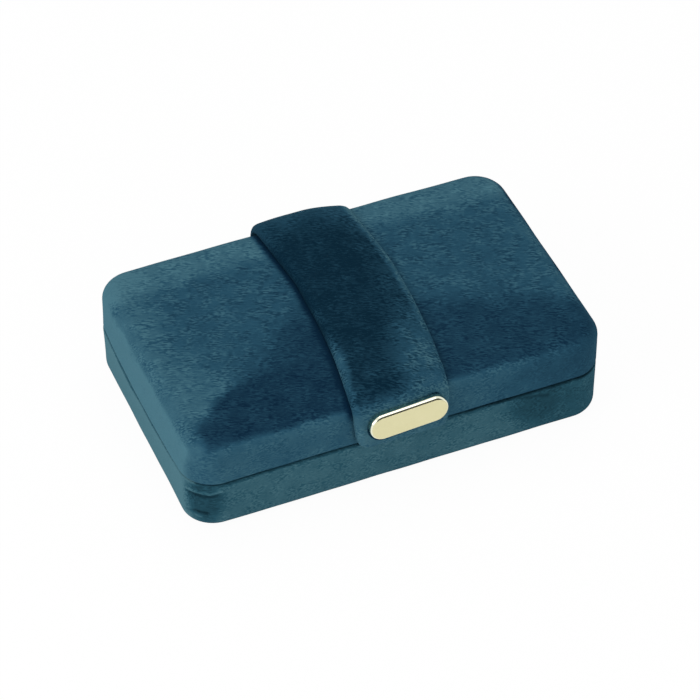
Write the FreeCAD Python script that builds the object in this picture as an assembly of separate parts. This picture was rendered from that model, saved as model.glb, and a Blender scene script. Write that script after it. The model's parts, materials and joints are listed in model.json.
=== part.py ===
import FreeCAD, Part
import math
import os
from FreeCAD import Vector

# Velvet ring box: a padded lid, hinged at the back to a base that holds a bed of ring rolls.
# Millimetres. X runs along the box, the front faces -Y, and the underside rests on Z = 0.

# Closed box, measured over the velvet
box_length = 160.0
box_depth = 101.0
corner_radius = 12.0
base_height = 21.3
seam_gap = 0.6
lid_height = 18.7
crown_rise = 1.0
top_round = 6.5
bottom_round = 3.7
rim_round = 1.0

# Layers, from the outside in
velvet = 1.0
wall = 3.0
lining = 1.4
underside_sheet = 0.6
base_floor = 1.8
lid_roof = 2.0
lid_padding = 2.0
hem_reach = 14.0
turn_in = 6.0
lining_drop = 0.8
sheet_margin = 1.0

# Ring insert in the base and soft panel in the lid
insert_board = 1.2
roll_width = 12.6
roll_gap = 0.3
roll_press = 0.4
roll_end_gap = 0.4
sleeve = 0.8
sleeve_mouth = 4.0
lid_board = 1.2
lid_pad = 2.4
lid_pad_gap = 0.3
lid_pad_round = 1.6
lid_shell_round = 4.0
padding_inset = 3.0

# Strap over the lid and the plate on its front end
strap_width = 37.0
strap_thickness = 4.2
strap_velvet = 0.9
strap_round = 2.7
strap_corner_spare = 0.8
strap_hem = 8.0
strap_end_hem = 4.0
strap_front_gap = 0.6
strap_back_gap = 2.4
strap_seat = 0.05
front_lean = 6.0
plate_length = 30.0
plate_height = 10.4
plate_thickness = 2.8
plate_edge = 1.0
plate_lift = 6.3
post_spacing = 16.0
post_radius = 0.9
post_length = 3.0
post_tip = 0.3
washer_radius = 2.4
washer_thickness = 0.5

# Hinges, screws and magnets
hinge_from_end = 34.0
hinge_length = 24.0
hinge_proud = 0.3
leaf_thickness = 0.8
leaf_inset = 0.2
barrel_proud = 0.2
knuckle_count = 3
knuckle_gap = 0.2
pin_radius = 0.6
pin_head = 0.4
pin_head_lip = 0.35
screw_radius = 0.6
screw_head_radius = 1.0
screw_head_depth = 0.5
screw_length = 5.0
screw_spacing = 14.0
magnet_length = 24.0
magnet_thickness = 1.6
magnet_height = 6.0

# Clearances
pin_clearance = 0.05
hinge_clearance = 0.3
fit_clearance = 0.05
least_radius = 0.5
touching = 1e-4

# Levels and insets that follow from the sizes above
half_length = box_length / 2
half_depth = box_depth / 2
lid_rim = base_height + seam_gap
lid_peak = lid_rim + lid_height
crown_radius = half_length ** 2 / (2 * crown_rise)
shell_bottom = underside_sheet + velvet
floor_top = shell_bottom + base_floor
board_top = floor_top + insert_board
lid_shell_top = lid_peak - crown_rise - velvet - lid_padding
roof_under = lid_shell_top - lid_roof
lid_board_under = roof_under - lid_board
wall_inset = velvet + wall
lining_inset = wall_inset + velvet
bed_inset = lining_inset + lining
hinge_y = half_depth + hinge_proud
hinge_z = base_height + seam_gap / 2
rim_to_axis = velvet + seam_gap / 2
barrel_radius = rim_to_axis + barrel_proud
wall_middle = half_depth - velvet - wall / 2


def block(inset, bottom, top):
    """Upright block on the box's rounded outline, drawn in by inset."""
    x = half_length - inset
    y = half_depth - inset
    radius = max(corner_radius - inset, least_radius)
    slab = Part.makeBox(2 * x, 2 * y, top - bottom, Vector(-x, -y, bottom))
    uprights = [edge for edge in slab.Edges if edge.BoundBox.ZLength > touching]
    return slab.makeFillet(radius, uprights)


def ring(outer_inset, inner_inset, bottom, top):
    """Upright band between two insets of the box's outline."""
    return block(outer_inset, bottom, top).cut(block(inner_inset, bottom, top))


def edges_at(shape, height):
    """Edges that lie at one height."""
    return [edge for edge in shape.Edges
            if abs(edge.BoundBox.ZMin - height) < touching and abs(edge.BoundBox.ZMax - height) < touching]


def edges_above(shape, height):
    """Edges that lie wholly above a height."""
    return [edge for edge in shape.Edges if edge.BoundBox.ZMin > height]


def crowned_block(inset, bottom):
    """Block under the lid's crown, drawn in by inset at the sides and top, with a rounded top edge."""
    peak = lid_peak - inset
    radius = crown_radius - inset
    dome = Part.makeSphere(radius)
    dome.rotate(Vector(0, 0, 0), Vector(1, 0, 0), 90)
    dome.translate(Vector(0, 0, peak - radius))
    crowned = block(inset, bottom, peak).common(dome)
    return crowned.makeFillet(top_round - inset, edges_above(crowned, bottom))


def along_x(radius, centre, length, y, z):
    """Round bar along X."""
    return Part.makeCylinder(radius, length, Vector(centre - length / 2, y, z), Vector(1, 0, 0))


def fuse_all(shapes):
    """One shape from several."""
    return shapes[0].multiFuse(shapes[1:]).removeSplitter()


# Hinges: two butt hinges whose leaves lie on the shells' rims

knuckle_length = (hinge_length - (knuckle_count - 1) * knuckle_gap) / knuckle_count
hinge_centres = (hinge_from_end - half_length, half_length - hinge_from_end)
leaf_inner = half_depth - wall_inset + leaf_inset
base_side = -1
lid_side = 1


def knuckle_centres(centre, first):
    """Middles of every second knuckle along one hinge."""
    start = centre - hinge_length / 2 + knuckle_length / 2
    return [start + index * (knuckle_length + knuckle_gap) for index in range(first, knuckle_count, 2)]


def screw_places():
    """X of the hinge screws of one shell."""
    return [centre + side * screw_spacing / 2 for centre in hinge_centres for side in (-1, 1)]


def screw(x, side, spare):
    """Countersunk screw through a leaf into a shell's rim, with spare room all round for its hole."""
    head = Vector(x, wall_middle, hinge_z + side * (rim_to_axis - leaf_thickness))
    down = Vector(0, 0, side)
    cone = Part.makeCone(screw_head_radius + spare, screw_radius + spare, screw_head_depth, head, down)
    return fuse_all([cone, Part.makeCylinder(screw_radius + spare, screw_length + spare, head, down)])


def hinge_leaf(centre, side, first_own):
    """Leaf of one hinge: plate on a shell's rim, rolled knuckles, pin bore and countersunk holes."""
    plate_low = hinge_z + min(side * rim_to_axis, side * (rim_to_axis - leaf_thickness))
    plate = Part.makeBox(hinge_length, hinge_y - leaf_inner, leaf_thickness,
                         Vector(centre - hinge_length / 2, leaf_inner, plate_low))
    own = [along_x(barrel_radius, x, knuckle_length, hinge_y, hinge_z)
           for x in knuckle_centres(centre, first_own)]
    room = [along_x(barrel_radius + hinge_clearance, x, knuckle_length + 2 * knuckle_gap, hinge_y, hinge_z)
            for x in knuckle_centres(centre, 1 - first_own)]
    bore = along_x(pin_radius + pin_clearance, centre, hinge_length, hinge_y, hinge_z)
    holes = [screw(x, side, fit_clearance) for x in screw_places()]
    return fuse_all([plate.cut(room)] + own).cut([bore] + holes)


def hinge_pin(centre):
    """Pin of one hinge, peened over at both ends."""
    bar = along_x(pin_radius, centre, hinge_length, hinge_y, hinge_z)
    middle = (hinge_length + pin_head) / 2
    heads = [along_x(pin_radius + pin_head_lip, centre + side * middle, pin_head, hinge_y, hinge_z)
             for side in (-1, 1)]
    return fuse_all([bar] + heads)


def barrel_room():
    """Room for the hinge barrels and their pin heads in the back of both halves."""
    length = hinge_length + 2 * (pin_head + hinge_clearance)
    return [along_x(barrel_radius + hinge_clearance, centre, length, hinge_y, hinge_z)
            for centre in hinge_centres]


def leaf_room():
    """Gap cut in the velvet over both rims for the hinge leaves."""
    length = hinge_length + 2 * hinge_clearance
    return [Part.makeBox(length, hinge_y - leaf_inner + hinge_clearance, 2 * rim_to_axis,
                         Vector(centre - length / 2, leaf_inner - hinge_clearance, hinge_z - rim_to_axis))
            for centre in hinge_centres]


def magnet(side, spare):
    """Bar magnet upright in the middle of a shell's front wall, with spare room for its pocket."""
    rim = hinge_z + side * rim_to_axis
    low = rim if side == lid_side else rim - magnet_height - spare
    length = magnet_length + 2 * spare
    thickness = magnet_thickness + 2 * spare
    corner = Vector(-length / 2, -wall_middle - thickness / 2, low)
    return Part.makeBox(length, thickness, magnet_height + spare, corner)


# Base: moulded tray, velvet cover turned over the rim and under the floor, suede sheet below

base_cavity = block(wall_inset, floor_top, base_height)
base_cavity = base_cavity.makeFillet(velvet, edges_at(base_cavity, floor_top))
base_tray = block(velvet, shell_bottom, base_height - velvet)
base_tray = base_tray.makeFillet(bottom_round - velvet, edges_at(base_tray, shell_bottom))
base_plinth = block(hem_reach, underside_sheet, shell_bottom)
base_solid = fuse_all([base_tray, base_plinth])
base_shell = base_solid.cut([base_cavity, magnet(base_side, fit_clearance)] + barrel_room()
                            + [screw(x, base_side, fit_clearance) for x in screw_places()])

base_skin = block(0, underside_sheet, base_height)
base_skin = base_skin.makeFillet(bottom_round, edges_at(base_skin, underside_sheet))
base_skin = base_skin.makeFillet(rim_round, edges_at(base_skin, base_height))
base_hem = ring(wall_inset, lining_inset, base_height - turn_in, base_height)
base_cover = base_skin.cut([base_solid, block(wall_inset, floor_top, base_height)])
base_cover = fuse_all([base_cover, base_hem]).cut(barrel_room() + leaf_room())

base_sheet = block(bottom_round + sheet_margin, 0, underside_sheet)

# Ring insert: card board, lining strip round the wall, and rolls side by side

board = block(lining_inset + fit_clearance, floor_top, board_top)
base_lining = ring(lining_inset, bed_inset, board_top, base_height - lining_drop)

bed_depth = 2 * (half_depth - bed_inset)
roll_count = max(round(bed_depth / roll_width), 1)
roll_pitch = bed_depth / roll_count
roll_radius = (roll_pitch - roll_gap) / 2
bed_corner = max(corner_radius - bed_inset, least_radius)
roll_end_room = roll_end_gap + max(bed_corner - roll_radius, 0)
roll_length = 2 * (half_length - bed_inset - roll_end_room)
roll_z = board_top + roll_radius - roll_press


def padded_rod(radius, length, y):
    """Rod along X with half-round ends."""
    straight = length - 2 * radius
    ends = [Part.makeSphere(radius, Vector(side * straight / 2, y, roll_z), Vector(side, 0, 0), 0, 90)
            for side in (-1, 1)]
    return fuse_all([along_x(radius, 0, straight, y, roll_z)] + ends)


def ring_roll(y):
    """Velvet sleeve, pressed flat on the board and gathered to a mouth at each end, and its foam core."""
    core = padded_rod(roll_radius - sleeve, roll_length - 2 * sleeve, y)
    mouth = along_x(sleeve_mouth / 2, 0, roll_length, y, roll_z)
    below = Part.makeBox(roll_length, 2 * roll_radius, roll_press,
                         Vector(-roll_length / 2, y - roll_radius, board_top - roll_press))
    return padded_rod(roll_radius, roll_length, y).cut([core, mouth, below]), core


# Lid: moulded tray, foam padding on its roof, velvet cover turned over the rim

lid_cavity = block(wall_inset, lid_rim, roof_under)
lid_cavity = lid_cavity.makeFillet(velvet, edges_at(lid_cavity, roof_under))
lid_tray = block(velvet, lid_rim + velvet, lid_shell_top)
lid_tray = lid_tray.makeFillet(lid_shell_round, edges_at(lid_tray, lid_shell_top))
lid_shell = lid_tray.cut([lid_cavity, magnet(lid_side, fit_clearance)] + barrel_room()
                         + [screw(x, lid_side, fit_clearance) for x in screw_places()])

lid_inside = crowned_block(velvet, lid_rim + velvet)
lid_foam = lid_inside.common(block(velvet + padding_inset, lid_shell_top, lid_peak))

lid_skin = crowned_block(0, lid_rim)
lid_skin = lid_skin.makeFillet(rim_round, edges_at(lid_skin, lid_rim))
lid_hem = ring(wall_inset, lining_inset, lid_rim, lid_rim + turn_in)
lid_cover = lid_skin.cut([lid_inside, block(wall_inset, lid_rim, lid_rim + velvet)])
lid_cover = fuse_all([lid_cover, lid_hem]).cut(barrel_room() + leaf_room())

lid_panel = block(lining_inset + fit_clearance, lid_board_under, roof_under)
lid_lining = ring(lining_inset, bed_inset, lid_rim + lining_drop, lid_board_under)
soft_pad = block(bed_inset + lid_pad_gap, lid_board_under - lid_pad, lid_board_under)
soft_pad = soft_pad.makeFillet(lid_pad_round, edges_at(soft_pad, lid_board_under - lid_pad))

# Strap: padded band that follows the lid from the back, over the crown and down the front

crown_z = lid_peak - crown_radius
bend_y = half_depth - top_round
bend_z = crown_z + math.sqrt((crown_radius - top_round) ** 2 - bend_y ** 2)
strap_front_end = lid_rim + strap_front_gap
strap_back_end = lid_rim + strap_back_gap


def around(y, z, radius, angle):
    """Point of the side view at an angle, in degrees from straight up towards the back."""
    turn = math.radians(angle)
    return Vector(0, y + radius * math.sin(turn), z + radius * math.cos(turn))


def strap_line(rise, end_inset, lean):
    """Side view of a line over the lid, at a distance from its velvet, with its front and back ends.
    The front runs straight down, with a lean in degrees that carries its end forwards."""
    edge_turn = math.degrees(math.atan2(bend_y, bend_z - crown_z))
    front_turn = lean - 90
    radius = top_round + rise
    front_top = around(-bend_y, bend_z, radius, front_turn)
    front_low = strap_front_end + end_inset
    front_end = Vector(0, front_top.y - (front_top.z - front_low) * math.tan(math.radians(lean)), front_low)
    front_bend = around(-bend_y, bend_z, radius, (front_turn - edge_turn) / 2)
    front_crown = around(-bend_y, bend_z, radius, -edge_turn)
    crown = around(0, crown_z, crown_radius + rise, 0)
    back_crown = around(bend_y, bend_z, radius, edge_turn)
    back_bend = around(bend_y, bend_z, radius, (90 + edge_turn) / 2)
    back_top = around(bend_y, bend_z, radius, 90)
    back_end = Vector(0, back_top.y, strap_back_end + end_inset)
    curves = [Part.LineSegment(front_end, front_top), Part.Arc(front_top, front_bend, front_crown),
              Part.Arc(front_crown, crown, back_crown), Part.Arc(back_crown, back_bend, back_top),
              Part.LineSegment(back_top, back_end)]
    return Part.Wire([curve.toShape() for curve in curves]), front_end, back_end


def band(width, low, high, end_inset, lean):
    """Straight-sided band between two distances from the lid's velvet, and the sheet of its outer faces."""
    under, under_front, under_back = strap_line(low, end_inset, 0)
    outer, outer_front, outer_back = strap_line(high, end_inset, lean)
    front = Part.makeLine(under_front, outer_front)
    back = Part.makeLine(outer_back, under_back)
    loop = Part.Wire(Part.__sortEdges__(under.Edges + outer.Edges + [front, back]))
    shift = Vector(-width / 2, 0, 0)
    across = Vector(width, 0, 0)
    return Part.Face(loop).translated(shift).extrude(across), outer.translated(shift).extrude(across)


def padded_band(width, low, high, end_inset, edge_round):
    """Band with rounded lower corners and one soft edge all round its outer face."""
    square, outer = band(width, low, high, end_inset, front_lean)
    ends = [strap_front_end + end_inset, strap_back_end + end_inset]
    corners = [edge for end in ends for edge in edges_at(square, end) if edge.BoundBox.XLength < touching]
    rounded = square.makeFillet(edge_round + strap_corner_spare, corners)
    soft_edge = []
    for edge in rounded.Edges:
        on_outer = all(outer.distToShape(Part.Vertex(point))[0] < touching for point in edge.discretize(3))
        crosses = edge.BoundBox.XLength > width / 2 and edge.BoundBox.ZMin > max(ends) + touching
        if on_outer and not crosses:
            soft_edge.append(edge)
    return rounded.makeFillet(edge_round, soft_edge)


strap_solid = padded_band(strap_width, strap_seat, strap_thickness, 0, strap_round)
strap_filling = padded_band(strap_width - 2 * strap_velvet, strap_seat + strap_velvet,
                            strap_thickness - strap_velvet, strap_velvet, strap_round - strap_velvet)
strap_foot, _ = band(strap_width - 2 * strap_hem, strap_seat, strap_seat + strap_velvet, strap_end_hem, 0)
strap_filling = fuse_all([strap_filling, strap_foot])

# Plate: bar with round ends and soft edges, held by two posts and push-on washers inside the strap

plate_shift = plate_lift + plate_height / 2
strap_front = strap_line(strap_thickness, 0, front_lean)[1]
posts_x = (-post_spacing / 2, post_spacing / 2)


def on_strap(shape):
    """Place a shape, drawn upright behind Y = 0 about the plate's middle, on the strap's leaning front."""
    shape.translate(Vector(0, 0, plate_shift))
    shape.rotate(Vector(0, 0, 0), Vector(1, 0, 0), -front_lean)
    shape.translate(strap_front)
    return shape


def through_strap(radius, start, end):
    """Round bars at both posts, between two depths behind the plate."""
    return [on_strap(Part.makeCylinder(radius, end - start, Vector(x, start, 0), Vector(0, 1, 0)))
            for x in posts_x]


def round_ended_bar():
    """The plate without its posts: a bar with round ends and its front edge rounded."""
    half_straight = (plate_length - plate_height) / 2
    front = -plate_thickness
    middle = Part.makeBox(2 * half_straight, plate_thickness, plate_height,
                          Vector(-half_straight, front, -plate_height / 2))
    ends = [Part.makeCylinder(plate_height / 2, plate_thickness, Vector(x, front, 0), Vector(0, 1, 0))
            for x in (-half_straight, half_straight)]
    bar = fuse_all([middle] + ends)
    front_edges = [edge for edge in bar.Edges if abs(edge.BoundBox.YMax - front) < touching]
    return on_strap(bar.makeFillet(plate_edge, front_edges))


washer_end = post_length - post_tip
washer_start = washer_end - washer_thickness
post_holes = through_strap(post_radius + fit_clearance, 0, post_length + post_tip)
washer_room = through_strap(washer_radius + fit_clearance, washer_start, post_length + strap_thickness)
plate = fuse_all([round_ended_bar()] + through_strap(post_radius, 0, post_length))
washers = Part.Compound([disc.cut(post_holes)
                         for disc in through_strap(washer_radius, washer_start, washer_end)])
strap_cover = strap_solid.cut([strap_filling] + post_holes)
strap_core = strap_filling.cut(post_holes + washer_room)

# Pieces by name

pieces = {
    "base_shell": base_shell,
    "base_cover": base_cover,
    "base_sheet": base_sheet,
    "base_magnet": magnet(base_side, 0),
    "insert_board": board,
    "base_lining": base_lining,
    "lid_shell": lid_shell,
    "lid_foam": lid_foam,
    "lid_cover": lid_cover,
    "lid_magnet": magnet(lid_side, 0),
    "lid_board": lid_panel,
    "lid_lining": lid_lining,
    "lid_pad": soft_pad,
    "strap_core": strap_core,
    "strap_cover": strap_cover,
    "strap_plate": plate,
    "plate_washers": washers,
    "hinge_base_screws": Part.Compound([screw(x, base_side, 0) for x in screw_places()]),
    "hinge_lid_screws": Part.Compound([screw(x, lid_side, 0) for x in screw_places()]),
}
for place, centre in zip(("left", "right"), hinge_centres):
    pieces["hinge_base_leaf_" + place] = hinge_leaf(centre, base_side, 0)
    pieces["hinge_lid_leaf_" + place] = hinge_leaf(centre, lid_side, 1)
    pieces["hinge_pin_" + place] = hinge_pin(centre)
for number in range(roll_count):
    roll_y = bed_inset - half_depth + (number + 0.5) * roll_pitch
    roll, core = ring_roll(roll_y)
    pieces["ring_roll_%d" % (number + 1)] = roll
    pieces["ring_roll_core_%d" % (number + 1)] = core

os.makedirs("parts", exist_ok=True)
for name, piece in pieces.items():
    piece.exportStep("parts/%s.step" % name)
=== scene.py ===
import bmesh
import bpy
import json
import math
from mathutils import Matrix, Vector, noise


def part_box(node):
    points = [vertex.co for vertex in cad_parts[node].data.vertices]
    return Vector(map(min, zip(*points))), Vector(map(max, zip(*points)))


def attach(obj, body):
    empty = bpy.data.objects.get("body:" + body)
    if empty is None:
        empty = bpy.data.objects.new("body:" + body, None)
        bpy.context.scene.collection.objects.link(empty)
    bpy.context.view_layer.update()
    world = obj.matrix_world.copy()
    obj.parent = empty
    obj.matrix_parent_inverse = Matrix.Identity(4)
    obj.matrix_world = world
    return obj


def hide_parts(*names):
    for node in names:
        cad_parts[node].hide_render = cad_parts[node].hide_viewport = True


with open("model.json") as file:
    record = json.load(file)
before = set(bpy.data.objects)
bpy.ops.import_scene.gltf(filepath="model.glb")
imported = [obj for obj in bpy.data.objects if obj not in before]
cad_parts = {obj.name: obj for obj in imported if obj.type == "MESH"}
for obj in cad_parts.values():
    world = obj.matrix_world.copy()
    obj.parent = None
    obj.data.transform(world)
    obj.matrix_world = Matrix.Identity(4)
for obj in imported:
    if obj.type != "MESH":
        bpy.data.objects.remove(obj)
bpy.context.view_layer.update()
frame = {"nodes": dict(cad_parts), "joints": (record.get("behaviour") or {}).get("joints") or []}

# Base tray: the lower half's stiff core, an injection-moulded tray in dark matte plastic.
# The velvet is glued over it, so only the bare rim under the hinge leaves ever shows.

mm = 0.001


class Tone:
    """A socket in a node tree. Arithmetic adds Math nodes, and add() puts in any other node."""

    def __init__(self, tree, socket):
        self.tree = tree
        self.socket = socket

    def add(self, kind, settings, inputs, output=0):
        """Add a node: its settings first, then the values or links of its sockets."""
        node = self.tree.nodes.new(kind)
        for name, value in settings.items():
            setattr(node, name, value)
        for name, value in inputs.items():
            if isinstance(value, Tone):
                self.tree.links.new(value.socket, node.inputs[name])
            else:
                node.inputs[name].default_value = value
        return Tone(self.tree, node.outputs[output])

    def calculate(self, operation, first, second):
        return self.add("ShaderNodeMath", {"operation": operation}, {0: first, 1: second})

    def __add__(self, other):
        return self.calculate("ADD", self, other)

    def __sub__(self, other):
        return self.calculate("SUBTRACT", self, other)

    def __rsub__(self, other):
        return self.calculate("SUBTRACT", other, self)

    def __mul__(self, other):
        return self.calculate("MULTIPLY", self, other)

    __radd__ = __add__
    __rmul__ = __mul__


def new_finish(name, constants):
    """New material with its shader's constant sockets set, and its Object coordinates."""
    material = bpy.data.materials.new(name)
    material.use_nodes = True
    tree = material.node_tree
    shader = tree.nodes["Principled BSDF"]
    for socket, value in constants.items():
        shader.inputs[socket].default_value = value
    place = tree.nodes.new("ShaderNodeTexCoord").outputs["Object"]
    return material, shader, Tone(tree, place)


def feed(shader, inputs):
    """Link tones to a shader's sockets."""
    for socket, tone in inputs.items():
        tone.tree.links.new(tone.socket, shader.inputs[socket])


def grain(place, size, detail=2.0, stretch=(1, 1, 1), turn=(0, 0, 0)):
    """Noise with spots of about one size, drawn out by stretch along axes that are turned first."""
    spread = place.add("ShaderNodeMapping", {"vector_type": "TEXTURE"},
                       {"Vector": place, "Rotation": turn, "Scale": stretch})
    return place.add("ShaderNodeTexNoise", {}, {"Vector": spread, "Scale": 1 / size, "Detail": detail})


def blend(share, first, second):
    """Colour between two colours."""
    return share.add("ShaderNodeMix", {"data_type": "RGBA"}, {0: share, 6: first, 7: second}, 2)


def raised(height, depth, strength=1.0):
    """Normal of a surface with small height differences."""
    return height.add("ShaderNodeBump", {}, {"Height": height, "Distance": depth, "Strength": strength})


def dress(material, *nodes):
    """Give CAD nodes a finish."""
    for node in nodes:
        for slot in frame["nodes"][node].material_slots:
            slot.material = material


def moulded_plastic():
    """Dark matte plastic with a fine spark-eroded grain."""
    material, shader, place = new_finish("moulded plastic", {"Specular IOR Level": 0.4})
    mottle = grain(place, 6 * mm)
    pits = grain(place, 0.35 * mm, 3)
    feed(shader, {
        "Base Color": blend(mottle, (0.020, 0.024, 0.028, 1), (0.034, 0.038, 0.043, 1)),
        "Roughness": 0.5 + 0.25 * pits,
        "Normal": raised(pits, 0.03 * mm),
    })
    return material


tray_plastic = moulded_plastic()
dress(tray_plastic, "base_shell")


# Base velvet: short-pile velvet drawn over the tray from the rim down, turned in over the rim
# and glued under the floor. The pile lies in brushed patches, so its tone changes over the cloth,
# and painted shade, painted highlights and painted sheen are laid into the same tone.

corner_round = 12 * mm
foot_round = 3.7 * mm
rim_width = 5 * mm
rim_round = 1.0 * mm
turn_in = 6 * mm
hem_reach = 11.5 * mm
velvet_thickness = 0.8 * mm
cell = 1.7 * mm
leaf_level = 1.3 * mm
leaf_room = 0.6 * mm
touching = 1e-6
wave_length = 16 * mm
wave_height = 0.16 * mm
seam_level = frame["joints"][0]["pos_m"][2]


def round_edges(mesh, edges, radius, segments):
    """Round some edges of a mesh."""
    bmesh.ops.bevel(mesh, geom=edges, offset=radius, offset_type="OFFSET", segments=segments, profile=0.5,
                    affect="EDGES", clamp_overlap=False, material=-1)


def sharp_edges_at(mesh, height):
    """Edges at one height where two faces meet at a corner."""
    mesh.normal_update()
    return [edge for edge in mesh.edges
            if all(abs(vert.co.z - height) < touching for vert in edge.verts)
            and edge.calc_face_angle(0) > 1]


def rounded_block(low, high, corner, segments):
    """Block between two corners, with its upright edges rounded."""
    mesh = bmesh.new()
    bmesh.ops.create_cube(mesh, size=1)
    bmesh.ops.scale(mesh, vec=high - low, verts=mesh.verts)
    bmesh.ops.translate(mesh, vec=(low + high) / 2, verts=mesh.verts)
    uprights = [edge for edge in mesh.edges if abs(edge.verts[0].co.z - edge.verts[1].co.z) > touching]
    round_edges(mesh, uprights, corner, segments)
    return mesh


def flat_face(mesh, side):
    """Largest face that looks straight up (side 1) or down (side -1)."""
    mesh.normal_update()
    level_faces = [face for face in mesh.faces if face.normal.z * side > 0.99]
    return max(level_faces, key=lambda face: face.calc_area())


def verts_of(parts):
    """The vertices among parts of a mesh."""
    return [part for part in parts if isinstance(part, bmesh.types.BMVert)]


def open_case(low, high, end_round, end_segments):
    """Case of cloth with its closed end down: rounded at the foot and turned in over the rim."""
    mesh = rounded_block(low, high, corner_round, 20)
    round_edges(mesh, sharp_edges_at(mesh, low.z), end_round, end_segments)
    mouth = flat_face(mesh, 1)
    bmesh.ops.inset_region(mesh, faces=[mouth], thickness=rim_width, use_even_offset=True)
    hem = bmesh.ops.extrude_edge_only(mesh, edges=mouth.edges[:])["geom"]
    bmesh.ops.delete(mesh, geom=[mouth], context="FACES_ONLY")
    bmesh.ops.translate(mesh, vec=(0, 0, -turn_in), verts=verts_of(hem))
    bmesh.ops.recalc_face_normals(mesh, faces=mesh.faces)
    round_edges(mesh, sharp_edges_at(mesh, high.z), rim_round, 5)
    return mesh


def cut_at(mesh, point, normal):
    """Cut a mesh along a plane, keeping both sides."""
    bmesh.ops.bisect_plane(mesh, geom=mesh.verts[:] + mesh.edges[:] + mesh.faces[:], dist=touching,
                           plane_co=point, plane_no=normal)


def cut_cells(mesh, size):
    """Cut a mesh into cells of about one size along the three axes."""
    for axis in range(3):
        low = min(vert.co[axis] for vert in mesh.verts)
        high = max(vert.co[axis] for vert in mesh.verts)
        count = max(round((high - low) / size), 1)
        normal = Vector([float(axis == other) for other in range(3)])
        for index in range(1, count):
            cut_at(mesh, normal * (low + (high - low) * index / count), normal)


def clear_hinges(mesh, side):
    """Cut the cloth away over the hinge leaves of the base (side -1) or the lid (side 1)."""
    level = seam_level + side * leaf_level
    for leaf in ("hinge_base_leaf_left", "hinge_base_leaf_right"):
        low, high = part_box(leaf)
        left, right, front = low.x - leaf_room, high.x + leaf_room, low.y - leaf_room
        cut_at(mesh, Vector((left, 0, 0)), Vector((1, 0, 0)))
        cut_at(mesh, Vector((right, 0, 0)), Vector((1, 0, 0)))
        cut_at(mesh, Vector((0, front, 0)), Vector((0, 1, 0)))
        cut_at(mesh, Vector((0, 0, level)), Vector((0, 0, 1)))
        gone = []
        for face in mesh.faces:
            middle = face.calc_center_median()
            if left < middle.x < right and middle.y > front and (middle.z - level) * side < 0:
                gone.append(face)
        bmesh.ops.delete(mesh, geom=gone, context="FACES")


def ruffle(mesh, wavelength, height, seed):
    """Move a mesh's surface in and out by soft noise."""
    mesh.normal_update()
    for vert in mesh.verts:
        vert.co += vert.normal * height * noise.noise(vert.co / wavelength + Vector((seed, 0, 0)))


swell_height = 1.6 * mm
swell_reach = 15 * mm
base_low, base_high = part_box("base_cover")


def swell(mesh):
    """Let the velvet of the left wall stand out along the seam, most in the middle of the wall."""
    front, back = base_low.y + 5 * mm, base_high.y - 1 * mm
    for vert in mesh.verts:
        level = max(1 - abs(vert.co.z - seam_level) / swell_reach, 0)
        outside = min(max(1 - (vert.co.x - base_low.x) / rim_width, 0), 1)
        share = min(max((vert.co.y - front) / (back - front), 0), 1)
        vert.co.x -= swell_height * level ** 2 * outside * math.sin(math.pi * share)


def fold_height(point, folds):
    """Rise of the cloth at a point near folds, each a height, a width and a line of points in millimetres."""
    total = 0
    for height, width, line in folds:
        gaps = []
        for first, second in zip(line, line[1:]):
            start, run = Vector(first) * mm, (Vector(second) - Vector(first)) * mm
            share = min(max((point - start).dot(run) / run.length_squared, 0), 1)
            gaps.append((point - start - run * share).length)
        total += height * math.exp(-(min(gaps) / (width * mm)) ** 2)
    return total


def crease(mesh, folds):
    """Cut a mesh finer along folds, raise or sink it there, and keep the rise as the attribute "fold"."""
    wide = [(1, 4 * width, line) for _, width, line in folds]
    near = [edge for edge in mesh.edges
            if any(fold_height(vert.co, [fold]) > 0.1 for vert in edge.verts for fold in wide)]
    bmesh.ops.subdivide_edges(mesh, edges=near, cuts=3, use_grid_fill=True)
    mesh.normal_update()
    layer = mesh.verts.layers.float.new("fold")
    for vert in mesh.verts:
        vert[layer] = fold_height(vert.co, folds)
    for vert in mesh.verts:
        vert.co += vert.normal * vert[layer] * mm


def make_piece(mesh, name, material, body, slot, *nodes):
    """Turn a finished mesh into a piece that rides on a body and stands for CAD nodes."""
    data = bpy.data.meshes.new(name)
    mesh.to_mesh(data)
    mesh.free()
    data.materials.append(material)
    data.shade_smooth()
    piece = bpy.data.objects.new(name, data)
    bpy.context.scene.collection.objects.link(piece)
    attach(piece, body)
    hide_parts(*nodes)
    return piece


def thicken(piece, thickness):
    """Give cloth its thickness, behind the face that shows."""
    solid = piece.modifiers.new("thickness", "SOLIDIFY")
    solid.thickness = thickness
    solid.offset = -1


def ramp(value, low, high):
    """Smooth step from 0 to 1 between two values."""
    return value.add("ShaderNodeMapRange", {"interpolation_type": "SMOOTHSTEP"},
                     {"Value": value, "From Min": low, "From Max": high})


def patch(place, centre, reach, edge):
    """1 inside a round patch of the cloth, 0 outside, with a soft edge given as a share of its reach."""
    scaled = place.add("ShaderNodeMapping", {}, {
        "Vector": place,
        "Location": [-middle / half for middle, half in zip(centre, reach)],
        "Scale": [1 / half for half in reach],
    })
    distance = place.add("ShaderNodeVectorMath", {"operation": "LENGTH"}, {0: scaled}, "Value")
    return ramp(distance, 1 + edge, 1 - edge)


def axes(place):
    """X, Y and Z of a place."""
    return [place.add("ShaderNodeSeparateXYZ", {}, {"Vector": place}, axis) for axis in range(3)]


def toward(value, target, share):
    """Value moved towards a target by a share."""
    return value + (target - value) * share


brush_turn = (0, 0, math.radians(-22.7))


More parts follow.
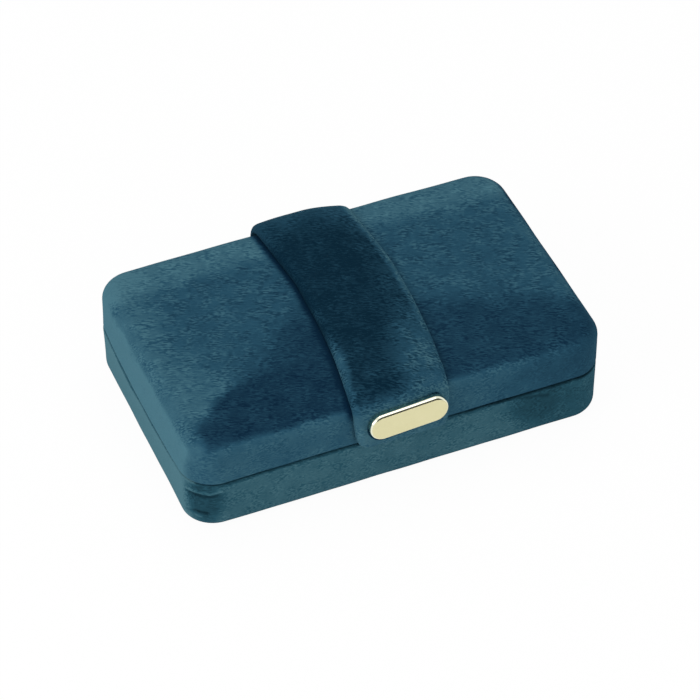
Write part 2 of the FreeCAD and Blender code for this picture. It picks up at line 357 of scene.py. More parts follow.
def velvet(name, deep, even, pale, lay):
    """Short-pile velvet. lay(place) says how the pile lies, from 0, flat and dark, to 1, upright and pale,
    with painted shade and painted light laid into the same tone, and how strongly it is brushed."""
    material, shader, place = new_finish(name, {
        "Specular IOR Level": 0.02,
        "Sheen Weight": 0.06,
        "Sheen Roughness": 0.5,
        "Sheen Tint": (0.12, 0.45, 0.60, 1),
    })
    drift = place.add("ShaderNodeTexNoise", {},
                      {"Vector": place, "Scale": 1 / (14 * mm), "Detail": 3.0}, "Color")
    centred = place.add("ShaderNodeVectorMath", {"operation": "SUBTRACT"}, {0: drift, 1: (0.5, 0.5, 0.5)})
    wandering = place.add("ShaderNodeVectorMath", {"operation": "MULTIPLY_ADD"},
                          {0: centred, 1: (10 * mm, 10 * mm, 1.5 * mm), 2: place})
    clumps = grain(place, 8 * mm, 3)
    strokes = ramp(grain(place, 0.55 * mm, 1, (3.4, 1, 1), brush_turn), 0.36, 0.64)
    specks = ramp(grain(place, 0.42 * mm, 1, (1.8, 1, 1), brush_turn), 0.65, 0.73)
    even_lay, brushing = lay(wandering)
    laid = even_lay + 0.35 * (clumps - 0.5)
    brushed = 0.09 + 0.5 * ramp(grain(place, 5 * mm, 2), 0.36, 0.62) * ramp(laid, -0.15, 0.5)
    nap = laid + (brushed * (strokes - 0.5) + 0.16 * specks) * brushing
    feed(shader, {
        "Base Color": blend(2 * nap - 1, blend(2 * nap, deep, even), pale),
        "Roughness": 0.95 - 0.1 * strokes,
        "Normal": raised(strokes + specks, 0.12 * mm, 0.5),
    })
    return material


deep_green = (0.0035, 0.0165, 0.026, 1)
even_green = (0.0185, 0.0715, 0.102, 1)
pale_green = (0.066, 0.158, 0.193, 1)


def off(value, middle):
    """How far a value is from a middle, to either side."""
    return value.calculate("ABSOLUTE", value - middle, 0)


def painted_seam_shade(x, y):
    """Painted shade along the seam where the two halves meet: least at the left, above all near the front,
    and most on the right.
    """
    left = ramp(x, -76 * mm, -79 * mm) * (0.25 + 0.4 * ramp(y, -20 * mm, -36 * mm))
    return 0.4 + left - 0.3 * ramp(x, 10 * mm, 30 * mm)


def base_lay(place):
    """Tone of the base's pile: upright at the left and in front, darker on the right of the front and at its
    left corner, with the left wall painted pale for the left lamp's light and sheen, a painted highlight on
    raised folds and painted shade in sunk ones."""
    x, y, z = axes(place)
    # The left wall is painted pale, standing in for the left lamp's light and the sheen falling on it.
    left = 0.69 + 0.46 * ramp(x, -74 * mm, -79 * mm)
    right = toward(left, 0.5, ramp(x, 34 * mm, 60 * mm))
    dark_nap_and_painted_shade = patch(place, (54 * mm, -50 * mm, 16 * mm), (13 * mm, 20 * mm, 9 * mm), 0.5)
    corner = patch(place, (-75 * mm, -47 * mm, 14 * mm), (7 * mm, 8 * mm, 11 * mm), 0.5)
    with_dark_patches = toward(toward(right, 0.32, dark_nap_and_painted_shade), 0.3, corner)
    # Raised folds get a painted highlight and sunk ones painted shade, on top of their real rise.
    fold = place.add("ShaderNodeAttribute", {"attribute_name": "fold"}, {}, "Fac")
    # Painted shade along the seam: near it the tone moves to the seam's darker tone.
    seam = ramp(off(z, seam_level), 1.3 * mm, 0.5 * mm)
    return toward(with_dark_patches + 0.8 * fold, painted_seam_shade(x, y), seam), 0.55


base_velvet = velvet("base velvet", deep_green, even_green, pale_green, base_lay)

corner_folds = [
    (0.45, 0.6, ((-79.2, -42.8, 17.3), (-76.9, -46.6, 17.9), (-73.1, -49.4, 17.6), (-69.0, -50.5, 18.8))),
    (-0.3, 0.9, ((-79.2, -42.8, 15.8), (-76.9, -46.6, 16.2), (-73.1, -49.4, 16.0), (-70.5, -50.2, 16.6))),
    (-0.4, 0.8, ((-79.6, -41.7, 5.6), (-77.4, -46.0, 7.9), (-74.3, -48.7, 7.7))),
    (0.45, 0.6, ((-77.4, -46.0, 6.1), (-76.0, -47.4, 5.9))),
]
front_folds = [
    (-0.3, 0.7, ((17.2, -50.5, 20.9), (26.6, -50.5, 20.5), (36.0, -50.5, 20.9))),
    (-0.22, 0.9, ((43.9, -50.5, 20.7), (50.3, -50.5, 19.2), (56.7, -50.5, 17.8))),
]
cloth = open_case(base_low, base_high, foot_round, 7)
floor = flat_face(cloth, -1)
bmesh.ops.inset_region(cloth, faces=[floor], thickness=hem_reach - foot_round, use_even_offset=True)
bmesh.ops.delete(cloth, geom=[floor], context="FACES")
cut_cells(cloth, cell)
clear_hinges(cloth, -1)
crease(cloth, corner_folds + front_folds)
swell(cloth)
ruffle(cloth, wave_length, wave_height, 3)
base_piece = make_piece(cloth, "velvet_base", base_velvet, "base", "velvet", "base_cover")
thicken(base_piece, velvet_thickness)


# Underside: a sheet of thin dark suede cloth under the base, cut with round corners.
# It is glued flat over the velvet's hem, which it hides.

suede_corner = corner_round - foot_round - 1 * mm
suede_round = 0.25 * mm
suede_cell = 4 * mm


def suede_cloth():
    """Dark suede with a short flat nap."""
    material, shader, place = new_finish("suede cloth", {"Specular IOR Level": 0.15, "Sheen Weight": 0.25,
                                                         "Sheen Roughness": 0.5})
    clouds = grain(place, 7 * mm, 3)
    fibres = grain(place, 0.3 * mm, 3)
    feed(shader, {
        "Base Color": blend(0.6 * clouds + 0.4 * fibres, (0.012, 0.022, 0.028, 1), (0.045, 0.068, 0.078, 1)),
        "Roughness": 0.85 + 0.12 * fibres,
        "Normal": raised(fibres, 0.06 * mm),
    })
    return material


sheet_low, sheet_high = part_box("base_sheet")
suede = rounded_block(sheet_low, sheet_high, suede_corner, 8)
round_edges(suede, sharp_edges_at(suede, sheet_low.z), suede_round, 2)
cut_cells(suede, suede_cell)
suede_piece = make_piece(suede, "suede_sheet", suede_cloth(), "base", "underside_suede", "base_sheet")


# Lid tray: the upper half's stiff core, moulded in the same plastic as the base tray.
# Foam and velvet are glued over it, and only the rim under the hinge leaves stays bare.

dress(tray_plastic, "lid_shell")


# Lid foam: a thin sheet of open-cell foam, cut with round corners and glued on the tray's roof.
# It pads the velvet over it and rounds the top a little.

foam_corner = corner_round - 4 * mm
foam_round = 2 * mm
foam_cell = 4 * mm


def open_foam():
    """Cream open-cell foam."""
    material, shader, place = new_finish("open foam", {"Specular IOR Level": 0.2})
    cells = place.add("ShaderNodeTexVoronoi", {}, {"Vector": place, "Scale": 1 / (0.9 * mm)})
    feed(shader, {
        "Base Color": blend(cells, (0.50, 0.47, 0.40, 1), (0.72, 0.69, 0.61, 1)),
        "Roughness": 0.85 + 0.1 * cells,
        "Normal": raised(cells, 0.2 * mm),
    })
    return material


foam = open_foam()
crown_radius = 3200 * mm


def crown(mesh, start, full):
    """Round a top over, more the higher up a point is between two heights."""
    for vert in mesh.verts:
        share = min(max((vert.co.z - start) / (full - start), 0), 1)
        vert.co.z -= share * (vert.co.x ** 2 + vert.co.y ** 2) / (2 * crown_radius)


foam_low, foam_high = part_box("lid_foam")
padding = rounded_block(foam_low, foam_high, foam_corner, 10)
round_edges(padding, sharp_edges_at(padding, foam_high.z), foam_round, 4)
cut_cells(padding, foam_cell)
crown(padding, foam_low.z, foam_high.z)
foam_piece = make_piece(padding, "foam_lid", foam, "lid", "foam", "lid_foam")


# Lid velvet: the same velvet as the base, drawn over the foam and the lid's wall and turned in
# over its rim. On top it is brushed dark in front, on both sides of the strap.

top_round = 6.5 * mm
bow_peak = 4 * mm
bow_middle = 12 * mm
bow_back = 0.85 * mm
bow_front = -1.25 * mm
bow_run = 40 * mm
bow_radius = 333 * mm
strap_width = 37 * mm


def bow(y):
    """How far the strap over the lid is drawn to the right, at a place between its back and its front."""
    if y < bow_middle:
        return max(bow_peak - (bow_middle - y) ** 2 / (2 * bow_radius), bow_front)
    share = min((y - bow_middle) / bow_run, 1)
    return bow_back + (bow_peak - bow_back) * math.cos(share * math.pi / 2) ** 2


def lid_lay(place):
    """Tone of the lid's pile: a dark patch in front on the left, a darker front on the right, pale along the
    back, the left wall painted pale for the left lamp's light and sheen, and painted shade on the lid beside
    the strap."""
    x, y, z = axes(place)
    left = 0.70 - 0.24 * ramp(x + 0.5 * y.calculate("MINIMUM", y, 0), -77 * mm, -57 * mm)
    right = 0.46 + 0.15 * ramp(x, 68 * mm, 78 * mm)
    roof = toward(left, right, ramp(x, -5 * mm, 5 * mm)) + 0.32 * ramp(y, 28 * mm, 40 * mm)
    inside = (16 * mm + 0.6 * x - 0.8 * y) * (1 - 0.7 * ramp(x, -56 * mm, -38 * mm))
    left_patch = ramp(inside, -2 * mm, 5 * mm) * ramp(x, -77 * mm, -70 * mm) * ramp(x, 10 * mm, -10 * mm)
    right_front = ramp(y + 0.35 * x, 8 * mm, -8 * mm) * ramp(x, 0, 10 * mm)
    brushed = toward(toward(roof, 0.13, left_patch), 0.19, right_front)
    front = 0.59 - 0.23 * ramp(x, 15 * mm, 75 * mm)
    # The left wall is painted pale, standing in for the left lamp's light and the sheen falling on it.
    walls = toward(front, 1.05, ramp(x, -77 * mm, -79.5 * mm) * ramp(y, -45 * mm, -40 * mm))
    upright = toward(walls, brushed, ramp(z + 1.5 * mm * ramp(x, -68 * mm, -77 * mm), 37.1 * mm, 39.2 * mm))
    beside = place.add("ShaderNodeAttribute", {"attribute_name": "beside"}, {}, "Fac")
    # Painted shade on the lid along the strap's left side, where the strap's shadow and crevice fall, less
    # down the front wall.
    dark_nap_and_painted_shade = ramp(beside, -strap_width / 2 - 3 * mm, -strap_width / 2) * ramp(z, 32 * mm, 38 * mm)
    with_strap_shade_and_dark_right_wall = toward(upright, -0.1, dark_nap_and_painted_shade * ramp(x, 10 * mm, 0)) - 0.3 * ramp(x, 78.3 * mm, 79.3 * mm)
    # Painted shade along the seam: near it the tone moves to the seam's darker tone.
    seam = ramp(off(z, seam_level), 1.3 * mm, 0.5 * mm)
    brushing = 0.4 + 0.42 * ramp(z, 36 * mm, 39 * mm)
    return toward(with_strap_shade_and_dark_right_wall, painted_seam_shade(x, y), seam), brushing


deep_teal = (0.0025, 0.0155, 0.037, 1)
even_teal = (0.018, 0.068, 0.110, 1)
pale_teal = (0.058, 0.150, 0.193, 1)
lid_velvet = velvet("lid velvet", deep_teal, even_teal, pale_teal, lid_lay)

lid_low, lid_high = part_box("lid_cover")
cloth = open_case(lid_low, lid_high, top_round, 9)
bmesh.ops.rotate(cloth, cent=(lid_low + lid_high) / 2, matrix=Matrix.Rotation(math.pi, 3, "X"),
                 verts=cloth.verts)
cut_cells(cloth, cell)
clear_hinges(cloth, 1)
crown(cloth, lid_high.z - top_round, lid_high.z)
swell(cloth)
ruffle(cloth, wave_length, wave_height, 7)
beside = cloth.verts.layers.float.new("beside")
for vert in cloth.verts:
    vert[beside] = vert.co.x - bow(vert.co.y)
lid_piece = make_piece(cloth, "velvet_lid", lid_velvet, "lid", "velvet", "lid_cover")
thicken(lid_piece, velvet_thickness)


# Strap: a padded band of velvet round a foam strip, glued over the lid from back to front.
# It bows a little to the right in its middle, and its front end stands off the lid.

half_depth = 50.5 * mm
strap_thickness = 4.2 * mm
strap_seat = 0.05 * mm
strap_front_gap = 0.6 * mm
strap_back_gap = 2.4 * mm
strap_edge = 2.4 * mm
strap_foot = 1.3 * mm
strap_corner = 4 * mm
strap_taper = 0.07
left_dome = 0.15
right_dome = 0.6
front_lean = math.radians(6)
lean_start = 1.5 * mm
strap_cell = 1.5 * mm
core_inset = 0.9 * mm
crown_z = lid_high.z - crown_radius
bend_y = half_depth - top_round
bend_z = crown_z + math.sqrt((crown_radius - top_round) ** 2 - bend_y ** 2)
edge_turn = math.atan2(bend_y, bend_z - crown_z)
crown_half = edge_turn * crown_radius
bend_end = crown_half + top_round * (math.pi / 2 - edge_turn)
front_hang = bend_z - lid_low.z - strap_front_gap
back_hang = bend_z - lid_low.z - strap_back_gap


def over_lid(run, height):
    """Point of the side view, at a run along the lid's velvet from its middle and a height over it."""
    reach = abs(run)
    if reach < crown_half:
        turn = reach / crown_radius
        y = (crown_radius + height) * math.sin(turn)
        z = crown_z + (crown_radius + height) * math.cos(turn)
    elif reach < bend_end:
        turn = edge_turn + (reach - crown_half) / top_round
        y = bend_y + (top_round + height) * math.sin(turn)
        z = bend_z + (top_round + height) * math.cos(turn)
    else:
        y = half_depth + height
        z = bend_z - (reach - bend_end)
    return Vector((0, math.copysign(y, run), z))


def strap_form(inset):
    """The strap's padded form, drawn in by inset: laid flat with soft edges first, then bent over the lid."""
    low, high = strap_seat + inset, strap_thickness - inset
    mesh = rounded_block(Vector((inset - strap_width / 2, inset - bend_end - front_hang, low)),
                         Vector((strap_width / 2 - inset, bend_end + back_hang - inset, high)),
                         strap_corner - inset, 6)
    round_edges(mesh, sharp_edges_at(mesh, high), strap_edge - inset, 6)
    round_edges(mesh, sharp_edges_at(mesh, low), strap_foot - inset, 4)
    cut_cells(mesh, strap_cell)
    flat = mesh.verts.layers.float_vector.new("flat")
    for vert in mesh.verts:
        vert[flat] = vert.co
        across, run, height = vert.co
        hang = max(-bend_end - run, 0)
        side = across * 2 / strap_width
        rounding = right_dome * side ** 2 if side > 0 else left_dome * side ** 4
        rise = height * (1 - rounding * (1 - hang / front_hang))
        place = over_lid(run, rise)
        lean = math.tan(front_lean) * hang ** 2 / (hang + lean_start) * rise / strap_thickness
        narrow = 1 - strap_taper * hang / front_hang
        vert.co = Vector((across * narrow + bow(place.y), place.y - lean, place.z))
    return mesh


plate_size = Vector((30 * mm, 10.4 * mm, 2.8 * mm))
plate_lift = 6.3 * mm
plate_askew = math.radians(3.2)
plate_shift = -0.6 * mm
plate_print = (plate_shift - bow_front, -bend_end - 2 * mm, 0)


def strap_lay(place):
    """Tone of the strap's pile: dark over the lid, paler at the back and on both sides in front, upright on
    its end, with painted sheen along its right edge and on its left edge in front, painted shade along its
    foot, and a thin painted shadow round the plate."""
    flat = place.add("ShaderNodeAttribute", {"attribute_name": "flat"}, {}, "Vector")
    across, run, height = axes(flat)
    # Painted sheen: paler towards the strap's right edge and brightest along it, and along its left edge in
    # front.
    right_painted_sheen = 0.12 * ramp(across, 4 * mm, 14 * mm) + 0.5 * ramp(across, 14.5 * mm, 18 * mm)
    front_right = patch(flat, (15 * mm, -39.6 * mm, 0), (13 * mm, 22 * mm, 1), 0.6)
    left_edge_painted_sheen = patch(flat, (-18 * mm, -33.6 * mm, 0), (2.8 * mm, 13 * mm, 1), 0.6)
    front_left = patch(flat, (-15 * mm, -38 * mm, 0), (12 * mm, 14 * mm, 1), 0.6)
    end = ramp(run, -46.6 * mm, -52.6 * mm)
    back = ramp(run, 30 * mm, 50 * mm)
    dark = 0.02 + right_painted_sheen + 0.38 * left_edge_painted_sheen + 0.08 * front_left + 0.25 * back
    # Painted shade in the crevice along the strap's foot, except on its end.
    foot = ramp(height, 1.8 * mm, 0.8 * mm) * (1 - end)
    upright = toward(toward(toward(dark, 0.46, front_right), -0.1, foot), 0.68, end)
    # Painted shadow round the plate: a thin dark ring on the strap by the bar's edge, cut back at its top.
    by_plate = flat.add("ShaderNodeMapping", {"vector_type": "TEXTURE"},
                        {"Vector": flat, "Location": plate_print, "Rotation": (0, 0, plate_askew)})
    beside, below, _ = axes(by_plate)
    past_bar = beside.calculate("MAXIMUM", off(beside, 0) - (plate_size.x - plate_size.y) / 2, 0)
    reach = past_bar * past_bar + below * below
    round_bar = ramp(reach, (plate_size.y / 2 + 0.4 * mm) ** 2, plate_size.y ** 2 / 4)
    dark_nap_and_painted_shade = round_bar * ramp(below, 5.0 * mm, 4.5 * mm)
    return toward(upright, 0.05, dark_nap_and_painted_shade), 1.05 - 0.55 * end - 0.4 * back


deep_shade = (0.0020, 0.0150, 0.030, 1)
strap_velvet = velvet("strap velvet", deep_shade, even_teal, pale_green, strap_lay)
band = strap_form(0)
ruffle(band, 11 * mm, 0.18 * mm, 11)
strap_piece = make_piece(band, "velvet_strap", strap_velvet, "lid", "velvet", "strap_cover")

strip_piece = make_piece(strap_form(core_inset), "foam_strap", foam, "lid", "foam", "strap_core")


# Plate: a small cast bar with round ends, gold plated, satin on its face and polished on its round edge.
# Two posts on its back go through the strap and take push-on washers. It sits a little askew.

plate_edge = 1.0 * mm
satin_rim = 0.15 * mm
satin_facing = 0.92
polished_above = 0.3


def gold_finish(name, thin, full, roughness, scratch):
    """Pale gold plating, between two colours, with faint brushing along the bar."""
    material, shader, place = new_finish(name, {"Metallic": 1.0})
    brushing = grain(place, 0.25 * mm, 2, (30, 1, 1))
    clouds = grain(place, 5 * mm)
    feed(shader, {
        "Base Color": blend(clouds, thin, full),
        "Roughness": roughness + scratch * brushing,
        "Normal": raised(brushing, 0.004 * mm, 0.3),
    })
    return material


bar = rounded_block(Vector((-plate_size.x / 2, -plate_size.y / 2, 0)),
                    Vector((plate_size.x / 2, plate_size.y / 2, plate_size.z)),
                    plate_size.y / 2 - touching, 20)
bmesh.ops.remove_doubles(bar, verts=bar.verts, dist=0.01 * mm)
round_edges(bar, sharp_edges_at(bar, plate_size.z), plate_edge, 10)
face = flat_face(bar, 1)
bmesh.ops.inset_region(bar, faces=[face], thickness=satin_rim, use_even_offset=True)
face.material_index = 1
bar.normal_update()
for part in bar.faces:
    if part.normal.z > satin_facing and part.normal.y < polished_above:
        part.material_index = 1
bend_reach = top_round + strap_thickness
front_top = front_hang + bend_reach * math.sin(front_lean)
front_end = bend_y + bend_reach * math.cos(front_lean) + front_top * math.tan(front_lean)
on_strap = (Matrix.Translation((plate_shift, -front_end, lid_low.z + strap_front_gap))
            @ Matrix.Rotation(-front_lean, 4, "X")
            @ Matrix.Translation((0, 0, plate_lift + plate_size.y / 2))
            @ Matrix.Rotation(math.pi / 2, 4, "X")
            @ Matrix.Rotation(plate_askew, 4, "Z"))
bmesh.ops.transform(bar, matrix=on_strap, verts=bar.verts)
# Painted highlight: the polished edge's gold is paler and whiter than the face's, though it is the same
# plating, so its mirror images come out near white.
polished_gold_painted_pale = gold_finish("polished gold painted pale", (0.80, 0.81, 0.63, 1), (0.85, 0.86, 0.68, 1), 0.05, 0.04)
satin_gold = gold_finish("satin gold", (0.75, 0.71, 0.43, 1), (0.80, 0.76, 0.48, 1), 0.42, 0.12)
plate_piece = make_piece(bar, "plate_bar", polished_gold_painted_pale, "lid", "gold_plate", "strap_plate")
plate_piece.data.materials.append(satin_gold)


# Hinges, screws and washers: two stamped brass butt hinges on the back rims, with drawn brass pins,
# countersunk brass screws, and the push-on washers behind the plate.

def satin_brass():
    """Drawn brass with fine marks and slightly darker patches."""
    material, shader, place = new_finish("satin brass", {"Metallic": 1.0})
    marks = grain(place, 0.3 * mm, 3, (10, 1, 1))
    tarnish = grain(place, 3 * mm, 3)
    feed(shader, {
        "Base Color": blend(tarnish, (0.50, 0.35, 0.13, 1), (0.75, 0.58, 0.28, 1)),
        "Roughness": 0.25 + 0.2 * marks,
        "Normal": raised(marks, 0.01 * mm, 0.4),
    })
    return material


hinge_nodes = ["hinge_%s_%s" % (part, side)
               for part in ("base_leaf", "lid_leaf", "pin") for side in ("left", "right")]
dress(satin_brass(), "hinge_base_screws", "hinge_lid_screws", "plate_washers", *hinge_nodes)


# Magnets: a nickel-plated bar magnet in the middle of each front rim, one pair that holds the lid shut.
# Each is sunk in its tray, under the velvet.

def nickel_plate():
    """Plated magnet, bright with a faint orange-peel."""
    material, shader, place = new_finish("nickel plate", {"Metallic": 1.0})
    peel = grain(place, 0.8 * mm, 2)
    feed(shader, {
        "Base Color": blend(peel, (0.58, 0.57, 0.54, 1), (0.70, 0.69, 0.66, 1)),
        "Roughness": 0.18 + 0.12 * peel,
        "Normal": raised(peel, 0.01 * mm, 0.3),
    })
    return material


dress(nickel_plate(), "base_magnet", "lid_magnet")


# Boards: two sheets of grey card, cut to the inside of the trays.
# One lies under the ring rolls, and the lid's soft panel is glued to the other.

def grey_card():
    """Pressed grey card with short fibres."""
    material, shader, place = new_finish("grey card", {"Specular IOR Level": 0.2})
    fibres = grain(place, 0.8 * mm, 3, (3, 1, 1), (0, 0, 0.8))
    feed(shader, {
        "Base Color": blend(fibres, (0.22, 0.21, 0.19, 1), (0.36, 0.34, 0.31, 1)),
        "Roughness": 0.8 + 0.15 * fibres,
        "Normal": raised(fibres, 0.04 * mm),
    })
    return material


dress(grey_card(), "insert_board", "lid_board")


# Linings: a padded strip of velvet in each half, with rounded edges.
# It is bent round the inside of the wall and glued to it.

lining_corner = corner_round - 5 * mm
lining_thickness = 1.4 * mm
lining_round = 0.55 * mm
lining_cell = 2.5 * mm


def inside_lay(place):
    """Pile inside the box, which lies evenly."""
    return 0.5 + 0.15 * grain(place, 30 * mm), 0.5


lining_velvet = velvet("lining velvet", deep_teal, even_teal, pale_teal, inside_lay)
for body in ("base", "lid"):
    node = body + "_lining"
    low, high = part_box(node)
    strip = rounded_block(low, high, lining_corner, 8)
    for side in (1, -1):
        rim = flat_face(strip, side)
        bmesh.ops.inset_region(strip, faces=[rim], thickness=lining_thickness, use_even_offset=True)
        bmesh.ops.delete(strip, geom=[rim], context="FACES")
    loops = [edge for edge in strip.edges if edge.is_boundary]
    bmesh.ops.bridge_loops(strip, edges=loops)
    for level in (low.z, high.z):
        round_edges(strip, sharp_edges_at(strip, level), lining_round, 4)
    cut_cells(strip, lining_cell)
    bmesh.ops.recalc_face_normals(strip, faces=strip.faces)
    lining = make_piece(strip, "lining_" + body, lining_velvet, body, "lining_velvet", node)


# Ring rolls: foam rods in velvet sleeves, side by side on the board. Each sleeve is gathered at its
# ends and pressed flat underneath; rings are pushed down between two rolls.

roll_low, roll_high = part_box("ring_roll_1")
roll_radius = (roll_high.y - roll_low.y) / 2
roll_length = roll_high.x - roll_low.x
roll_count = 7
roll_turns = 40
roll_end_steps = 12
roll_slices = 60
roll_swell = 0.1 * mm
roll_cell = 1.2 * mm
roll_glue = 0.4 * mm
sleeve_wall = 0.8 * mm
gather_reach = 7 * mm
gather_depth = 0.10
gather_count = 14


def padded_rod(radius, length, y, z):
    """Rod along X with half-round ends, spun from its outline."""
    mesh = bmesh.new()
    tip = bmesh.ops.create_vert(mesh, co=(length / 2, 0, 0))["vert"]
    arc = bmesh.ops.spin(mesh, geom=tip, cent=(length / 2 - radius, 0, 0), axis=(0, -1, 0),
                         angle=math.pi / 2, steps=roll_end_steps)["geom_last"]
    run = bmesh.ops.extrude_vert_indiv(mesh, verts=verts_of(arc))
    bmesh.ops.translate(mesh, vec=(2 * radius - length, 0, 0), verts=run["verts"])
    bmesh.ops.spin(mesh, geom=run["verts"], cent=(radius - length / 2, 0, 0), axis=(0, -1, 0),
                   angle=math.pi / 2, steps=roll_end_steps)
    bmesh.ops.spin(mesh, geom=mesh.verts[:] + mesh.edges[:], cent=(0, 0, 0), axis=(1, 0, 0),
                   angle=2 * math.pi, steps=roll_turns, use_merge=True)
    bmesh.ops.remove_doubles(mesh, verts=mesh.verts, dist=0.01 * mm)
    bmesh.ops.recalc_face_normals(mesh, faces=mesh.faces)
    for index in range(1, roll_slices):
        cut_at(mesh, Vector((length * (index / roll_slices - 0.5), 0, 0)), Vector((1, 0, 0)))
    bmesh.ops.translate(mesh, vec=(0, y, z), verts=mesh.verts)
    return mesh


cloth_pressure = 4
cloth_steps = 20


def inflate(mesh, cloth_cell, held, cap):
    """Swell a closed form of cloth with pressure, in a short simulation that moves no point further than
    cap. held(point) says where the cloth is fast."""
    scene = bpy.context.scene
    data = bpy.data.meshes.new("form")
    mesh.to_mesh(data)
    mesh.free()
    form = bpy.data.objects.new("form", data)
    scene.collection.objects.link(form)
    remesh = form.modifiers.new("remesh", "REMESH")
    remesh.mode = "VOXEL"
    remesh.voxel_size = cloth_cell
    form.data = bpy.data.meshes.new_from_object(form.evaluated_get(bpy.context.evaluated_depsgraph_get()))
    form.modifiers.clear()
    start = [vert.co.copy() for vert in form.data.vertices]
    fast = form.vertex_groups.new(name="fast")
    fast.add([index for index, point in enumerate(start) if held(point)], 1, "REPLACE")
    cloth = form.modifiers.new("cloth", "CLOTH")
    cloth.settings.use_pressure = True
    cloth.settings.uniform_pressure_force = cloth_pressure
    cloth.settings.effector_weights.gravity = 0
    cloth.settings.vertex_group_mass = "fast"
    for step in range(1, cloth_steps + 1):
        scene.frame_set(step)
    swollen = bmesh.new()
    swollen.from_mesh(form.evaluated_get(bpy.context.evaluated_depsgraph_get()).data)
    for vert, before in zip(swollen.verts, start):
        move = vert.co - before
        vert.co = before + move * min(cap / max(move.length, touching), 1)
    bpy.data.objects.remove(form)
    scene.frame_set(1)
    bmesh.ops.subdivide_edges(swollen, edges=swollen.edges, cuts=1, smooth=1.0, use_grid_fill=True)
    return swollen


roll_foot = roll_low.z - roll_high.z + roll_radius
rod = padded_rod(roll_radius - roll_swell, roll_length - 2 * roll_swell, 0, 0)
for vert in rod.verts:
    vert.co.z = max(vert.co.z, roll_foot)
rod = inflate(rod, roll_cell, lambda point: point.z < roll_foot + roll_glue, roll_swell)
for number in range(1, roll_count + 1):
    node = "ring_roll_%d" % number
    low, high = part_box(node)
    y = (low.y + high.y) / 2
    z = high.z - roll_radius
    sleeve = rod.copy()
    for vert in sleeve.verts:
        reach = roll_length / 2 - abs(vert.co.x)
        gathered = max(1 - reach / gather_reach, 0)
        angle = math.atan2(vert.co.z, vert.co.y)
        pleat = 1 - gather_depth * gathered * (0.5 + 0.5 * math.cos(gather_count * angle + number))
        vert.co.y = y + vert.co.y * pleat
        vert.co.z = max(z + vert.co.z * pleat, low.z)
    ruffle(sleeve, 14 * mm, 0.12 * mm, 20 + number)
    roll = make_piece(sleeve, "roll_%d" % number, lining_velvet, "base", "lining_velvet", node)
    core = padded_rod(roll_radius - sleeve_wall, roll_length - 2 * sleeve_wall, y, z)
    core_piece = make_piece(core, "roll_foam_%d" % number, foam, "base", "foam", "ring_roll_core_%d" % number)
rod.free()


# Soft panel: a thin padded velvet panel under the lid's roof, glued to its board round its edge.
# Its wadding swells the velvet in the middle.

pad_low, pad_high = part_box("lid_pad")
pad_swell = 0.6 * mm
pad_corner = corner_round - 6.7 * mm
pad_round = 1.1 * mm
pad_cell = 1.3 * mm
glued_edge = 2.5 * mm
glued_back = 0.5 * mm


def at_edge(point):
    """Whether a point of the panel is on its glued back or edge."""
    return (point.z > pad_high.z - glued_back or abs(point.x) > pad_high.x - glued_edge
            or abs(point.y) > pad_high.y - glued_edge)


panel = rounded_block(pad_low + Vector((0, 0, pad_swell)), pad_high, pad_corner, 6)
round_edges(panel, sharp_edges_at(panel, pad_low.z + pad_swell), pad_round, 5)
panel = inflate(panel, pad_cell, at_edge, pad_swell)
panel_piece = make_piece(panel, "pad_lid", lining_velvet, "lid", "lining_velvet", "lid_pad")


# Stage: what the box is shown on, no part of it. A pale floor, soft lights at the left, above and in front,
# a camera at the photograph's angle, and a dark card that only mirror images show.

floor_size = 4.0
floor_drop = 0.05 * mm


def shown_rays(tree):
    """1 for the rays that show a surface to the camera, straight, mirrored or through glass."""
    path = tree.nodes.new("ShaderNodeLightPath")
    seen = Tone(tree, path.outputs["Is Camera Ray"]) + Tone(tree, path.outputs["Is Glossy Ray"])
    return seen + Tone(tree, path.outputs["Is Transmission Ray"])


def pale_floor():
    """White floor that keeps a faint shadow of the object."""
    material = bpy.data.materials.new("pale floor")
    material.use_nodes = True
    tree = material.node_tree
    tree.nodes.remove(tree.nodes["Principled BSDF"])
    seen = shown_rays(tree)
    matte = seen.add("ShaderNodeBsdfDiffuse", {}, {"Color": (0.9, 0.9, 0.9, 1)})
    glow = seen.add("ShaderNodeEmission", {}, {"Color": (1, 1, 1, 1), "Strength": 1.0})
    mixed = seen.add("ShaderNodeMixShader", {}, {0: 0.96 * seen, 1: matte, 2: glow})
    tree.links.new(mixed.socket, tree.nodes["Material Output"].inputs["Surface"])
    return material


ground = bmesh.new()
bmesh.ops.create_grid(ground, x_segments=1, y_segments=1, size=floor_size / 2)
bmesh.ops.translate(ground, vec=(0, 0, -floor_drop), verts=ground.verts)
ground_mesh = bpy.data.meshes.new("floor")
ground.to_mesh(ground_mesh)
ground.free()
ground_mesh.materials.append(pale_floor())
ground_piece = bpy.data.objects.new("floor", ground_mesh)
bpy.context.scene.collection.objects.link(ground_piece)

world = bpy.data.worlds.new("studio")
bpy.context.scene.world = world
world.use_nodes = True
sky = world.node_tree.nodes["Background"]
sky.inputs["Color"].default_value = (1, 1, 1, 1)
ambient = 0.55
lift = shown_rays(world.node_tree) * (1 - ambient) + ambient
world.node_tree.links.new(lift.socket, sky.inputs["Strength"])


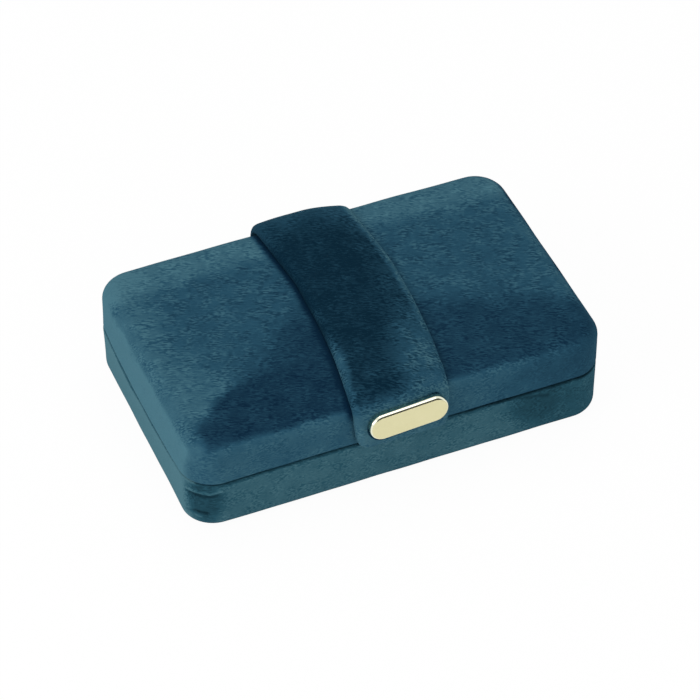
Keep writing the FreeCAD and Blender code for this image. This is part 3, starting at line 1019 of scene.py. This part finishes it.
def soft_box(name, place, size, power):
    """Square studio light aimed at the box."""
    light = bpy.data.lights.new(name, "AREA")
    light.size = size
    light.energy = power
    lamp = bpy.data.objects.new(name, light)
    lamp.location = place
    lamp.rotation_euler = (Vector((0, 0, 0.02)) - Vector(place)).to_track_quat("-Z", "Y").to_euler()
    bpy.context.scene.collection.objects.link(lamp)


soft_box("left light", (-1.2, -0.3, 0.7), 0.9, 9)
soft_box("top light", (0.1, 0.4, 1.5), 1.2, 7)
soft_box("front light", (0.3, -1.4, 0.6), 0.9, 5)

camera_place = Vector((-0.33953, -0.81230, 0.87010))
camera_azimuth = math.radians(-22.721)
camera_elevation = math.radians(44.118)
camera_data = bpy.data.cameras.new("camera")
camera_data.sensor_width = 36
camera_data.lens = 172.68
camera = bpy.data.objects.new("camera", camera_data)
camera.location = camera_place
back = Vector((math.sin(camera_azimuth) * math.cos(camera_elevation),
               -math.cos(camera_azimuth) * math.cos(camera_elevation), math.sin(camera_elevation)))
camera.rotation_mode = "QUATERNION"
camera.rotation_quaternion = (-back).to_track_quat("-Z", "Y")
bpy.context.scene.collection.objects.link(camera)
bpy.context.scene.camera = camera
bpy.context.scene.view_settings.view_transform = "Standard"

card_black = bpy.data.materials.new("dark card")
card_black.use_nodes = True
card_black.node_tree.nodes["Principled BSDF"].inputs["Base Color"].default_value = (0.01, 0.01, 0.01, 1)
card_place = Vector((0.33, -1.02, 0.55))
card_size = Matrix.Diagonal((1.6, 1.4, 1, 1))
card_turn = card_place.to_track_quat("Z", "Y").to_matrix().to_4x4()
card = bmesh.new()
bmesh.ops.create_grid(card, x_segments=1, y_segments=1, size=0.5)
card_form = Matrix.Translation(card_place) @ card_turn @ card_size
bmesh.ops.transform(card, matrix=card_form, verts=card.verts)
card_mesh = bpy.data.meshes.new("dark card")
card.to_mesh(card_mesh)
card.free()
card_mesh.materials.append(card_black)
card_piece = bpy.data.objects.new("dark card", card_mesh)
bpy.context.scene.collection.objects.link(card_piece)
card_piece.visible_camera = False
card_piece.visible_diffuse = False
card_piece.visible_shadow = False
